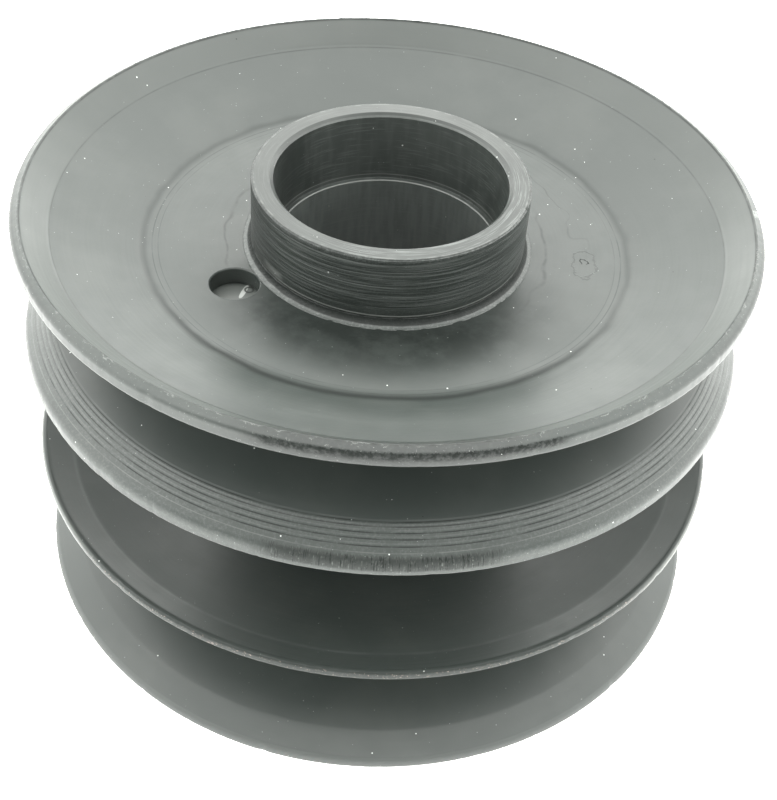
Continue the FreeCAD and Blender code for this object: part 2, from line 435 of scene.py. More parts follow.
def flange_turn(groove_side_up):
    """Points round a flange's rings, more of them at the rim of the side that shows."""
    shown = "groove_flare" if groove_side_up else "dish_flare"

    def count(r, z, run):
        return FINE_TURN if r > FINE_FROM and run in (shown, "edge", "land") else COARSE_TURN

    return count


def nicks_of(seed, count):
    """Small dents in a rim: heading, half width in millimetres, depth in millimetres."""
    return scattered(seed, count, (0, FULL_TURN), (0.2, 0.9), (0.02, 0.1))


DISC_ONE_NICKS = nicks_of(41, 46)
DISC_TWO_NICKS = nicks_of(42, 40)
DISC_THREE_NICKS = nicks_of(43, 70)
DISC_FOUR_NICKS = nicks_of(44, 26)


def rim_relief(r, azimuth, nicks, seed):
    """A rim that isn't quite even: nicks along its corners and a ragged edge."""
    lift = 0.0 * azimuth
    if r < FINE_FROM:
        return lift
    near_edge = math.exp(-(((RIM_RADIUS - r) / 0.35) ** 2))
    for heading, width, depth in nicks:
        lift -= near_edge * dent(azimuth, heading, width / r, depth)
    lift -= near_edge * 0.02 * np.clip(ripple(azimuth, seed, 60, 260), 0, 1.5)
    return lift


def disc_one_relief(r, z, run, azimuth):
    lift = rim_relief(r, azimuth, DISC_ONE_NICKS, 21)
    if run == "dish_flare":
        lift += groove(r - FLARE_GROOVE, 0.04, 0.2)
    if run in ("dish_flare", "land"):
        burr = np.clip(0.3 + ripple(azimuth, 31, 40, 420), 0, 2)
        lift += 0.05 * burr * math.exp(-(((r - LAND_START) / 0.12) ** 2))
        pits = np.clip(ripple(azimuth, 33, 80, 400), 0, 2)
        lift -= 0.015 * pits * math.exp(-(((r - LAND_START - 0.7) / 0.5) ** 2))
    if run in ("dish_web", "dish_flank"):
        lift += groove(r - CREASE_GROOVE, 0.06, 0.6)
    return lift


def disc_two_relief(r, z, run, azimuth):
    lift = rim_relief(r, azimuth, DISC_TWO_NICKS, 22)
    if run in ("groove_flare", "groove_flank"):
        for ring in DISC_TWO_RINGS:
            lift += groove(r - ring, 0.02, 0.15)
    return lift


def disc_three_relief(r, z, run, azimuth):
    lift = rim_relief(r, azimuth, DISC_THREE_NICKS, 23)
    if run in ("dish_flare", "land"):
        lift += groove(r - DISC_THREE_GROOVE, 0.06, 0.16)
    return lift


def disc_four_relief(r, z, run, azimuth):
    return rim_relief(r, azimuth, DISC_FOUR_NICKS, 24)


def keep_crisp(mesh, x, y, reach):
    """Keep the turns in a surface crisp within a reach of an upright line."""
    shape = bmesh.new()
    shape.from_mesh(mesh)
    for edge in shape.edges:
        near = all(math.hypot(vert.co.x / MM - x, vert.co.y / MM - y) < reach for vert in edge.verts)
        if near and len(edge.link_faces) == 2 and edge.calc_face_angle() > CRISP_TURN:
            edge.smooth = False
    shape.to_mesh(mesh)
    shape.free()


def cut_hole(piece, mount, low, high):
    """Drill a mount's hole through a piece, from one height to another, with rounded mouths."""
    x, y = HOLE_PLACE
    r = mount["dims"]["r_mm"]
    spare = 1.0
    bend = np.radians(np.linspace(0, HOLE_MOUTH_SWEEP, 9))
    mouth = [(r + HOLE_ROUND * (1 - math.cos(a)), HOLE_ROUND * math.sin(a)) for a in bend]
    rings = [(r + HOLE_ROUND, low - spare)]
    rings += [(radius, low + HOLE_ROUND - rise) for radius, rise in reversed(mouth)]
    rings += [(radius, high - HOLE_ROUND + rise) for radius, rise in mouth]
    rings += [(r + HOLE_ROUND, high + spare)]
    drill = bmesh.new()
    loops = []
    turns = np.arange(HOLE_TURN) * FULL_TURN / HOLE_TURN
    for radius, z in rings:
        ring = [(x + radius * math.cos(a), y + radius * math.sin(a), z) for a in turns]
        loops.append([drill.verts.new(Vector(place) * MM) for place in ring])
    for under, above in zip(loops, loops[1:]):
        for index in range(HOLE_TURN):
            after = (index + 1) % HOLE_TURN
            drill.faces.new((under[index], under[after], above[after], above[index]))
    drill.faces.new(list(reversed(loops[0])))
    drill.faces.new(loops[-1])
    mesh = bpy.data.meshes.new("drill")
    for face in drill.faces:
        face.smooth = True
    drill.to_mesh(mesh)
    drill.free()
    cutter = bpy.data.objects.new("drill", mesh)
    bpy.context.scene.collection.objects.link(cutter)
    cut = piece.modifiers.new("cut", "BOOLEAN")
    cut.operation = "DIFFERENCE"
    cut.solver = "EXACT"
    cut.object = cutter
    graph = bpy.context.evaluated_depsgraph_get()
    result = bpy.data.meshes.new_from_object(piece.evaluated_get(graph))
    piece.modifiers.clear()
    keep_crisp(result, x, y, r + 2 * HOLE_ROUND)
    piece.data = result
    bpy.data.objects.remove(cutter)


def make_flange(node, level, over, relief):
    low, high = node_box(node)
    rings = flange_outline(HUB_RADIUS, high.x, level, RIM_ROUNDS[node], over)
    rings = turned_over(rings, high.z) if over else lifted(rings, low.z)
    return turn(node.replace("flange", "disc"), rings, flange_turn(over), relief)


def bead_relief(seed):
    """Lumps and spatter along a weld bead."""

    def relief(r, z, run, azimuth):
        if run != "bead":
            return 0.0 * azimuth
        lumps = 0.02 * ripple(azimuth, seed, 12, 60) + 0.01 * ripple(azimuth, seed + int(r * 9), 60, 200)
        rougher = dent(azimuth, math.radians(-150), 0.4, 1.0)
        return lumps * (1 + 2.5 * rougher) + 0.12 * rougher

    return relief


def make_weld(node, flange, level, over, seed):
    low, high = node_box(flange)
    rings = weld_outline(HUB_RADIUS, LEVELS[level]["sheet"])
    rings = turned_over(rings, high.z) if over else lifted(rings, low.z)
    return turn(node.replace("weld", "bead"), rings, lambda r, z, run: BEAD_TURN, bead_relief(seed))


# ---------------------------------------------------------------- materials


class Graph:
    """Short names for the shader nodes of one material or world."""

    def __init__(self, owner):
        owner.use_nodes = True
        self.tree = owner.node_tree
        self.tree.nodes.clear()

    def put(self, socket, value):
        if isinstance(value, bpy.types.NodeSocket):
            self.tree.links.new(value, socket)
        else:
            socket.default_value = value

    def add(self, kind, inputs=None, **settings):
        node = self.tree.nodes.new(kind)
        for key, value in settings.items():
            setattr(node, key, value)
        for key, value in (inputs or {}).items():
            self.put(node.inputs[key], value)
        return node

    def math(self, operation, *values):
        return self.add("ShaderNodeMath", dict(enumerate(values)), operation=operation).outputs[0]

    def noise(self, vector, scale, detail=2.0, roughness=0.5):
        inputs = {"Vector": vector, "Scale": scale, "Detail": detail, "Roughness": roughness}
        return self.add("ShaderNodeTexNoise", inputs).outputs["Fac"]

    def remap(self, value, low, high, to_low=0.0, to_high=1.0, smooth=True):
        inputs = {"Value": value, "From Min": low, "From Max": high}
        inputs.update({"To Min": to_low, "To Max": to_high})
        kind = "SMOOTHSTEP" if smooth else "LINEAR"
        return self.add("ShaderNodeMapRange", inputs, interpolation_type=kind).outputs["Result"]

    def mix(self, share, first, second):
        node = self.add("ShaderNodeMix", data_type="RGBA")
        self.put(node.inputs[0], share)
        self.put(node.inputs[6], first)
        self.put(node.inputs[7], second)
        return node.outputs[2]

    def blend(self, share, first, second):
        node = self.add("ShaderNodeMix", data_type="FLOAT")
        self.put(node.inputs[0], share)
        self.put(node.inputs[2], first)
        self.put(node.inputs[3], second)
        return node.outputs[0]

    def combine(self, x, y, z):
        return self.add("ShaderNodeCombineXYZ", {0: x, 1: y, 2: z}).outputs[0]

    def product(self, *values):
        total = values[0]
        for value in values[1:]:
            total = self.math("MULTIPLY", total, value)
        return total

    def offset(self, value, centre, unit_length):
        """Distance from a centre, in lengths of a unit."""
        return self.math("DIVIDE", self.math("SUBTRACT", value, centre), unit_length)

    def length(self, across, along):
        squares = self.math("ADD", self.product(across, across), self.product(along, along))
        return self.math("SQRT", squares)

    def near(self, value, centre, reach):
        """1 where the value is at the centre, falling smoothly to 0 at the reach."""
        away = self.math("ABSOLUTE", self.math("SUBTRACT", value, centre))
        return self.remap(away, 0.0, reach, 1.0, 0.0)


PAINT = (0.03, 0.0365, 0.0335, 1)
THIN_PAINT = (0.046, 0.052, 0.048, 1)
HUB_PAINT = (0.022, 0.0265, 0.024, 1)
HUB_THIN_PAINT = (0.045, 0.051, 0.047, 1)
# Pale colour of tool lines, also laid on as a painted highlight along a bend.
TOOL_LINE_AND_HIGHLIGHT = (0.105, 0.115, 0.11, 1)
# Paler colour laid on as painted light inside the bore.
BORE_PAINTED_LIGHT = (0.1, 0.11, 0.105, 1)
DUST = (0.62, 0.64, 0.62, 1)
THIN_DUST = (0.2, 0.215, 0.205, 1)
# Paler colour laid on as painted highlights on the upper flare and cone.
FLARE_HIGHLIGHT = (0.078, 0.086, 0.081, 1)
EDGE_PAINT = (0.06, 0.066, 0.063, 1)
# Dark colour of grime and stains, also laid on as painted shade.
GRIME_AND_SHADE = (0.012, 0.014, 0.013, 1)
# Pale colour of worn paint, also laid on as painted highlights.
WORN_AND_HIGHLIGHT = (0.2, 0.21, 0.2, 1)
RUSTY = (0.34, 0.27, 0.24, 1)
WELD_PAINT = (0.05, 0.056, 0.053, 1)
WELD_THIN_PAINT = (0.075, 0.083, 0.079, 1)
DISC_ROUGHNESS = 0.38
HUB_ROUGHNESS = 0.36
WELD_ROUGHNESS = 0.42


class Paint(Graph):
    """Black satin paint over steel. Lengths in its nodes are millimetres."""

    def __init__(self, name, colour, roughness):
        self.material = bpy.data.materials.new(name)
        super().__init__(self.material)
        where = self.add("ShaderNodeTexCoord").outputs["Object"]
        scaled = self.add("ShaderNodeVectorMath", {0: where, "Scale": 1 / MM}, operation="SCALE")
        self.place = scaled.outputs[0]
        parts = self.add("ShaderNodeSeparateXYZ", {0: self.place}).outputs
        self.x, self.y, self.z = parts[0], parts[1], parts[2]
        self.radius = self.length(self.x, self.y)
        self.azimuth = self.math("ARCTAN2", self.y, self.x)
        self.colour = colour
        self.rough = roughness
        self.height = 0.0
        self.shine = 0.5

    def tint(self, share, colour, roughness=None):
        """Lay another finish over the paint, by a share from 0 to 1."""
        self.colour = self.mix(share, self.colour, colour)
        if roughness is not None:
            self.rough = self.blend(share, self.rough, roughness)

    def dull(self, share, shine):
        self.shine = self.blend(share, self.shine, shine)

    def raise_by(self, height):
        self.height = self.math("ADD", self.height, height)

    def around(self, along, across):
        """Noise coordinates stretched round the axis."""
        turn_x = self.math("COSINE", self.azimuth)
        turn_y = self.math("SINE", self.azimuth)
        return self.combine(
            self.product(turn_x, along), self.product(turn_y, along), self.product(across, 1.0))

    def satin(self, thin):
        """Cloudy film thickness, faint orange peel and uneven gloss."""
        cloud = self.noise(self.place, 0.06, 4.0, 0.6)
        self.tint(self.remap(cloud, 0.4, 0.72, 0.0, 0.55), thin)
        patch = self.noise(self.place, 0.21, 3.0, 0.55)
        self.rough = self.math("ADD", self.rough, self.remap(patch, 0.3, 0.7, -0.025, 0.025))
        peel = self.noise(self.place, 1.1, 2.0, 0.5)
        self.raise_by(self.math("MULTIPLY", self.math("SUBTRACT", peel, 0.5), 0.006))
        grain = self.noise(self.place, 5.5, 2.0, 0.6)
        self.raise_by(self.math("MULTIPLY", self.math("SUBTRACT", grain, 0.5), 0.0035))

    def spun(self, across, strength):
        """Very faint marks that run round the axis."""
        vector = self.around(2.2, self.product(across, 2.6))
        mark = self.noise(vector, 1.0, 3.0, 0.65)
        self.rough = self.math("ADD", self.rough, self.remap(mark, 0.3, 0.7, -strength, strength))

    def toward(self, degrees, reach):
        """1 at a heading round the axis, falling smoothly to 0 at the reach, in degrees."""
        turned = self.math("COSINE", self.math("SUBTRACT", self.azimuth, math.radians(degrees)))
        return self.remap(turned, math.cos(math.radians(reach)), 1.0)

    def specks(self, scale, share, smallest, largest, colour):
        """Round specks of many sizes, in a share of the cells of a scattered pattern."""
        cells = self.add("ShaderNodeTexVoronoi", {"Vector": self.place, "Scale": scale})
        lot = self.add("ShaderNodeSeparateColor", {0: cells.outputs["Color"]}).outputs
        size = self.remap(self.product(lot[1], lot[1]), 0.0, 1.0, smallest, largest, smooth=False)
        inside = self.math("DIVIDE", cells.outputs["Distance"], size)
        speck = self.remap(inside, 0.7, 1.0, 1.0, 0.0)
        chosen = self.remap(lot[0], 1 - share, 1.001 - share)
        self.tint(self.product(speck, chosen), colour, 0.6)

    def dust(self):
        """Tiny pale specks of dust and a few dark pits, here and there."""
        self.specks(0.55, 0.2, 0.02, 0.095, DUST)
        self.specks(1.2, 0.2, 0.05, 0.13, THIN_DUST)
        self.specks(0.37, 0.08, 0.03, 0.07, GRIME_AND_SHADE)

    def finish(self):
        bump = self.add("ShaderNodeBump", {"Strength": 1.0, "Distance": MM, "Height": self.height})
        shader = self.add("ShaderNodeBsdfPrincipled", {
            "Base Color": self.colour,
            "Roughness": self.rough,
            "Specular IOR Level": self.shine,
            "Normal": bump.outputs[0],
        })
        output = self.add("ShaderNodeOutputMaterial")
        self.put(output.inputs["Surface"], shader.outputs[0])
        return self.material


def disc_paint(name, marks):
    paint = Paint(name, PAINT, DISC_ROUGHNESS)
    paint.satin(THIN_PAINT)
    paint.spun(paint.radius, 0.03)
    marks(paint)
    paint.dust()
    return paint.finish()


def crease_darkening(paint, radius, reach, strength):
    """Darker, duller paint along a crease."""
    waver = paint.remap(paint.noise(paint.place, 0.12, 2.0), 0.3, 0.7, -0.25, 0.25)
    at = paint.near(paint.math("ADD", paint.radius, waver), radius, reach)
    share = paint.product(at, strength)
    paint.tint(share, GRIME_AND_SHADE, 0.5)
    paint.dull(share, 0.18)


def ring_line(paint, radius, reach, strength, colour=GRIME_AND_SHADE, shine=0.25):
    """A fine line round the disc, broken and uneven."""
    patchy = paint.remap(paint.noise(paint.place, 0.25, 2.0), 0.3, 0.6, 0.35, 1.0)
    share = paint.product(paint.near(paint.radius, radius, reach), patchy, strength)
    paint.tint(share, colour)
    paint.dull(share, shine)


def rim_wear(paint, inner, amount, colour=WORN_AND_HIGHLIGHT):
    """Rubbed and nicked paint along the rim."""
    zone = paint.remap(paint.radius, inner, inner + 0.25)
    fleck = paint.noise(paint.place, 2.6, 3.0, 0.7)
    worn = paint.remap(fleck, 0.66 - amount, 0.72 - amount)
    paint.tint(paint.product(zone, worn, 0.75), colour, 0.45)
    scuff = paint.noise(paint.place, 0.9, 3.0, 0.7)
    paint.tint(paint.product(zone, paint.remap(scuff, 0.45, 0.7), 0.35), THIN_PAINT, 0.3)


def disc_one_marks(paint):
    """Painted shade with dirty blotches on the web before the hub, drying marks, a blister, rolled lines
    and a worn rim.
    """
    on_web = paint.remap(paint.z, TOP_WEB - 0.1, TOP_WEB - 0.05)
    front = paint.toward(-92, 80)
    smear = paint.remap(paint.noise(paint.place, 0.22, 4.0, 0.6), 0.3, 0.62, 0.65, 1.0)
    # Painted shade, the hub's dark reflection, patchy like a greasy film, on the web in front of the
    # hub.
    film = paint.product(on_web, front, paint.near(paint.radius, TIDE_RADIUS, 13.0), smear)
    paint.tint(paint.product(film, 0.85), GRIME_AND_SHADE)
    paint.dull(film, 0.08)
    tide_lines(paint, on_web)
    blister(paint, on_web)
    crease_darkening(paint, CREASE_GROOVE + 0.3, 1.0, 0.3)
    # Wider and darker towards the front.
    crease_darkening(paint, CREASE_GROOVE + 0.4, 1.7, paint.product(front, 0.75))
    for line in CREASE_LINES:
        ring_line(paint, *line)
    flare_painted_light(paint)
    for line in FLARE_LINES:
        ring_line(paint, *line)
    rim_one_edge(paint)


def tide_lines(paint, on_web):
    """Faint broad outlines where a wet patch dried."""
    warp = paint.remap(paint.noise(paint.place, 0.13, 1.0), 0.3, 0.7, -0.9, 0.9)
    tide = paint.near(paint.math("ADD", paint.radius, warp), TIDE_RADIUS, 0.5)
    sides = paint.math("MAXIMUM", paint.toward(-178, 42), paint.toward(-12, 42))
    patchy = paint.remap(paint.noise(paint.place, 0.4, 2.0), 0.35, 0.6, 0.3, 1.0)
    stain = paint.product(on_web, tide, patchy, paint.remap(sides, 0.0, 0.6, 0.2, 0.9))
    paint.tint(paint.product(stain, 0.6), GRIME_AND_SHADE)
    paint.dull(stain, 0.36)
    wider = paint.math("ADD", paint.radius, paint.product(warp, 1.8))
    second = paint.near(wider, SECOND_TIDE_RADIUS, 0.35)
    stain = paint.product(on_web, second, patchy, paint.toward(30, 32))
    paint.tint(paint.product(stain, 0.5), GRIME_AND_SHADE)
    paint.dull(stain, 0.38)


def flare_painted_light(paint):
    """The flared rim: painted highlights towards both front corners and the back, painted shade on the
    flare in front, and a painted highlight on the cone in front.
    """
    flare = paint.remap(paint.radius, FLARE_GROOVE - 0.2, FLARE_GROOVE + 0.2)
    inner = paint.remap(paint.radius, LAND_START - 0.6, LAND_START - 0.1, 1.0, 0.0)
    corners = paint.math("MAXIMUM", paint.toward(-40, 62), paint.toward(-140, 62))
    # Painted highlights on the flare towards both front corners and the back.
    paint.tint(paint.product(flare, inner, corners, 0.9), FLARE_HIGHLIGHT)
    paint.tint(paint.product(flare, inner, paint.toward(90, 110), 0.5), FLARE_HIGHLIGHT)
    # Painted shade on the flare in front.
    paint.tint(paint.product(flare, paint.toward(-88, 26), 0.75), GRIME_AND_SHADE)
    # Painted highlight on the cone in front.
    cone = paint.near(paint.radius, 51.0, 6.5)
    paint.tint(paint.product(cone, paint.toward(FRONT, 60), 0.35), FLARE_HIGHLIGHT)


def rim_one_edge(paint):
    """Chipped paint where the land begins, and painted shade, a dark reflection, in a band along the
    outer edge in front.
    """
    rim_wear(paint, LAND_START, 0.02)
    waver = paint.remap(paint.noise(paint.place, 0.8, 3.0, 0.7), 0.3, 0.7, -0.3, 0.3)
    line = paint.near(paint.math("ADD", paint.radius, waver), LAND_START + 0.05, 0.13)
    broken = paint.remap(paint.noise(paint.place, 0.35, 3.0, 0.6), 0.47, 0.6)
    share = paint.product(line, broken, paint.remap(paint.toward(-80, 95), 0.0, 0.4, 0.2, 0.5))
    paint.tint(share, WORN_AND_HIGHLIGHT, 0.5)
    # Painted shade: a dark, dull band along the outer edge, in front only.
    ragged = paint.remap(paint.noise(paint.place, 2.2, 3.0, 0.75), 0.3, 0.7, -0.12, 0.12)
    height = paint.math("ADD", paint.z, ragged)
    painted_dark_band = paint.product(
        paint.remap(paint.radius, 62.6, 62.8),
        paint.remap(height, SHEARED_TOP, SHEARED_TOP + 0.07, 1.0, 0.0),
        paint.remap(height, SHEARED_TOP - 1.7, SHEARED_TOP - 0.6),
    )
    blotches = paint.remap(paint.noise(paint.place, 1.3, 3.0, 0.7), 0.35, 0.6, 0.45, 1.0)
    share = paint.product(painted_dark_band, blotches, paint.remap(paint.toward(-85, 24), 0.0, 0.4))
    paint.tint(paint.product(share, 0.9), GRIME_AND_SHADE, 0.6)
    paint.dull(share, 0.08)
    painted_corner_shade_and_highlight(paint, RIM_ONE_CORNER, 0.45)
    chip(paint)


def chip(paint):
    """A small pale chip on the right of the rim's top corner."""
    ragged = paint.remap(paint.noise(paint.place, 1.6, 3.0, 0.7), 0.3, 0.7, -0.7, 0.7)
    along = paint.offset(paint.y, CHIP_AT, CHIP_REACH)
    down = paint.offset(paint.z, SHEARED_TOP, CHIP_REACH)
    away = paint.math("ADD", paint.product(along, along), paint.product(down, down))
    inside = paint.remap(paint.math("ADD", away, ragged), 0.8, 1.0, 1.0, 0.0)
    speckled = paint.remap(paint.noise(paint.place, 3.2, 2.0, 0.7), 0.36, 0.5)
    outer = paint.remap(paint.x, LAND_START - 0.1, LAND_START + 0.2)
    paint.tint(paint.product(inside, speckled, outer), THIN_DUST, 0.5)


def painted_corner_shade_and_highlight(paint, corner, shade):
    """Away from the front, painted shade on the rim's outer face and a painted highlight along the
    corner under it.
    """
    outer = paint.remap(paint.radius, LAND_START + 0.5, LAND_START + 1.0)
    sides = paint.remap(paint.toward(FRONT, 75), 0.1, 0.75, 1.0, 0.0)
    above = paint.remap(paint.z, corner + 0.5, corner + 1.2)
    # Painted shade on the rim's outer face.
    paint.tint(paint.product(outer, sides, above, shade), GRIME_AND_SHADE)
    # Painted highlight along the lower corner.
    below = paint.remap(paint.z, corner + 0.15, corner + 0.45, 1.0, 0.0)
    share = paint.product(outer, sides, below, 0.6)
    paint.tint(share, WORN_AND_HIGHLIGHT, 0.25)
    paint.dull(share, 1.0)


def blister(paint, on_web):
    """A flattened paint blister with a small puckered middle."""
    middle_x, middle_y = BLISTER_PLACE
    side = paint.offset(paint.x, middle_x, BLISTER_HALF[0])
    along = paint.offset(paint.y, middle_y, BLISTER_HALF[1])
    away = paint.length(side, along)
    ragged = paint.remap(paint.noise(paint.place, 0.55, 2.0), 0.3, 0.7, -0.16, 0.16)
    edge = paint.near(paint.math("ADD", away, ragged), 0.95, 0.1)
    share = paint.product(edge, on_web)
    paint.raise_by(paint.product(share, 0.03))
    paint.tint(paint.product(share, 0.35), GRIME_AND_SHADE)
    paint.dull(paint.product(share, 0.5), 0.3)
    curl = paint.near(paint.math("ADD", away, paint.product(ragged, 1.5)), 0.24, 0.09)
    upper = paint.remap(paint.y, middle_y - 0.2, middle_y + 0.3)
    share = paint.product(curl, on_web, upper)
    paint.tint(share, GRIME_AND_SHADE, 0.6)
    paint.dull(share, 0.1)
    paint.raise_by(paint.product(share, -0.05))


def disc_two_marks(paint):
    """Rings left by the forming roll, crazed paint along the rim over painted shade, and painted shade
    and highlight at the rim's corner.
    """
    zone = paint.remap(paint.radius, 58.3, 58.8)
    grain = paint.noise(paint.place, 2.2, 3.0, 0.7)
    paint.raise_by(paint.product(zone, paint.math("SUBTRACT", grain, 0.5), 0.02))
    paint.tint(paint.product(zone, paint.remap(grain, 0.45, 0.7), 0.3), TOOL_LINE_AND_HIGHLIGHT)
    front = paint.remap(paint.toward(-88, 85), 0.0, 0.45, 0.3, 1.0)
    for ring in DISC_TWO_RINGS:
        ring_line(paint, ring, 0.13, paint.product(front, 0.85), shine=0.1)
        ring_line(paint, ring - 0.3, 0.15, paint.product(front, 0.3), TOOL_LINE_AND_HIGHLIGHT, 0.6)
    ring_line(paint, 62.15, 0.1, 0.25, WORN_AND_HIGHLIGHT, 0.6)
    rim_wear(paint, 63.2, 0.02)
    painted_corner_shade_and_highlight(paint, RIM_TWO_CORNER, 0.4)
    crazing(paint)
    under_hole(paint)


def crazing(paint):
    """Short dark cracks across the paint where the rim was formed, over a patch of painted shade in
    front.
    """
    above = paint.remap(paint.z, RIM_TWO_CORNER + 0.6, RIM_TWO_CORNER + 1.3)
    patch = paint.remap(paint.toward(-88, 21), 0.0, 0.75)
    # Painted shade: a darker, duller patch on the rim's front.
    shade = paint.product(paint.remap(paint.radius, 62.2, 63.0), above, patch)
    paint.tint(paint.product(shade, 0.6), GRIME_AND_SHADE, 0.55)
    paint.dull(paint.product(shade, 0.75), 0.12)
    lean = paint.combine(paint.product(paint.azimuth, 290.0), paint.product(paint.radius, 0.5), 0.0)
    crack = paint.remap(paint.noise(lean, 1.0, 1.0, 0.5), 0.54, 0.62)
    length = paint.remap(paint.noise(paint.place, 1.1, 2.0), 0.42, 0.55)
    zone = paint.product(paint.remap(paint.radius, 62.3, 62.8), above, patch)
    share = paint.product(zone, crack, length, 0.7)
    paint.tint(share, GRIME_AND_SHADE, 0.6)
    paint.dull(share, 0.04)
    paint.raise_by(paint.product(share, -0.03))
    pale = paint.remap(paint.noise(lean, 2.1, 1.0, 0.5), 0.56, 0.66)
    short = paint.remap(paint.noise(paint.place, 1.5, 2.0), 0.45, 0.6)
    paint.tint(paint.product(zone, pale, short, 0.35), WORN_AND_HIGHLIGHT)


def under_hole(paint):
    """What shows at the bottom of the locating hole: a paler floor, a pale wedge and a dark curl."""
    spot_x, spot_y = HOLE_PLACE
    across = paint.math("SUBTRACT", paint.x, spot_x)
    along = paint.math("SUBTRACT", paint.y, spot_y)
    hole_floor = paint.product(paint.near(across, 0.0, 5.0), paint.near(along, 0.0, 5.0))
    paint.tint(paint.remap(hole_floor, 0.0, 0.3, 0.0, 0.3), WORN_AND_HIGHLIGHT)
    edge = paint.math("ADD", across, paint.product(along, -0.25))
    pale_wedge = paint.product(paint.near(edge, 0.75, 0.55), paint.near(along, 2.0, 2.4))
    paint.tint(paint.remap(pale_wedge, 0.1, 0.2, 0.0, 0.5), DUST, 0.5)
    side = paint.math("SUBTRACT", across, 2.1)
    rise = paint.math("SUBTRACT", along, 2.6)
    paint.tint(paint.near(paint.length(side, rise), 0.7, 0.35), GRIME_AND_SHADE, 0.6)


def disc_three_marks(paint):
    """A faint broad painted highlight along the flare's bend, a line beside the rim, and a nicked cut
    edge with painted shade in front and painted highlights to the sides.
    """
    # Painted highlight: a broad pale line along the flare's bend.
    ring_line(paint, 57.8, 0.7, 0.2, TOOL_LINE_AND_HIGHLIGHT, 0.6)
    ring_line(paint, 62.55, 0.25, 0.5, shine=0.15)
    painted_edge_shade(paint)
    rim_wear(paint, 63.25, 0.06, RUSTY)
    # Painted highlights on the rim's edge, away from the front.
    sides = paint.remap(paint.toward(FRONT, 70), 0.0, 0.6, 1.0, 0.0)
    paint.tint(paint.product(paint.remap(paint.radius, 63.0, 63.3), sides, 0.6), WORN_AND_HIGHLIGHT)


def disc_four_marks(paint):
    """Paint worn a little paler along the rim."""
    rim_wear(paint, 63.3, 0.02)
    paint.tint(paint.remap(paint.radius, 62.7, 63.0), EDGE_PAINT, 0.55)


def painted_edge_shade(paint):
    """The cut edge of the thinner sheet: painted shade, darker and duller paint in front."""
    share = paint.product(paint.remap(paint.radius, 62.9, 63.3), paint.toward(FRONT, 65))
    paint.dull(share, 0.22)
    paint.tint(paint.product(share, 0.5), GRIME_AND_SHADE, 0.5)


def hub_finish():
    """Thin paint over a turned tube: the tool marks show through as fine lines."""
    paint = Paint("turned_hub_paint", HUB_PAINT, HUB_ROUGHNESS)
    paint.satin(HUB_THIN_PAINT)
    outside_lines_and_shade(paint)
    end_face(paint)
    bore_streaks_and_light(paint)
    paint.dust()
    return paint.finish()


def outside_lines_and_shade(paint):
    """Fine pale lines of the lathe tool down the outside, with one deeper feed line, painted shade at
    the foot and on the left, and a painted reflection low on the left.
    """
    outside = paint.remap(paint.radius, HUB_RADIUS - 0.14, HUB_RADIUS - 0.08)
    turned = paint.product(outside, paint.remap(paint.z, FEED_LINE + 0.6, FEED_LINE + 2.2, 0.15, 1.0))
    for across, along, low, share in TURNING_LINES:
        vector = paint.around(along, paint.product(paint.z, across))
        line = paint.remap(paint.noise(vector, 1.0, 1.0, 0.5), low, low + 0.07)
        paint.tint(paint.product(turned, line, share), TOOL_LINE_AND_HIGHLIGHT, 0.32)
        paint.raise_by(paint.product(turned, line, 0.008))
    # Painted shade down the hub's foot, below the feed line.
    painted_foot_shade = paint.product(outside, paint.remap(paint.z, FEED_LINE - 0.4, FEED_LINE + 0.4, 1.0, 0.0))
    paint.tint(paint.product(painted_foot_shade, 0.4), GRIME_AND_SHADE)
    feed = paint.product(outside, paint.near(paint.z, FEED_LINE, 0.2))
    paint.tint(paint.product(feed, 0.85), WORN_AND_HIGHLIGHT, 0.35)
    # Painted shade in a line just under the feed line.
    under = paint.product(outside, paint.near(paint.z, FEED_LINE - 0.35, 0.25))
    paint.tint(paint.product(under, 0.7), GRIME_AND_SHADE, 0.5)
    # Painted reflection: a soft pale spot low on the left.
    painted_reflection = paint.product(
        outside,
        paint.toward(REFLECTION_SPOT["heading"], REFLECTION_SPOT["reach"]),
        paint.near(paint.z, REFLECTION_SPOT["height"], REFLECTION_SPOT["half_height"]),
    )
    paint.tint(paint.product(painted_reflection, 0.65), WORN_AND_HIGHLIGHT, 0.4)
    corner = paint.product(outside, paint.remap(paint.z, HUB_LENGTH - 1.3, HUB_LENGTH - 0.25))
    rubbed = paint.remap(paint.noise(paint.place, 2.4, 4.0, 0.75), 0.48, 0.58)
    paint.tint(paint.product(corner, rubbed, 0.6), TOOL_LINE_AND_HIGHLIGHT, 0.3)
    grain = paint.remap(paint.noise(paint.place, 3.0, 3.0, 0.75), 0.5, 0.68)
    paint.tint(paint.product(outside, grain, 0.3), TOOL_LINE_AND_HIGHLIGHT)
    # Painted shade on the hub's left side.
    paint.tint(paint.product(outside, paint.toward(-165, 32), 0.6), GRIME_AND_SHADE)
    paint.dull(paint.product(outside, paint.toward(-165, 32), 0.6), 0.25)


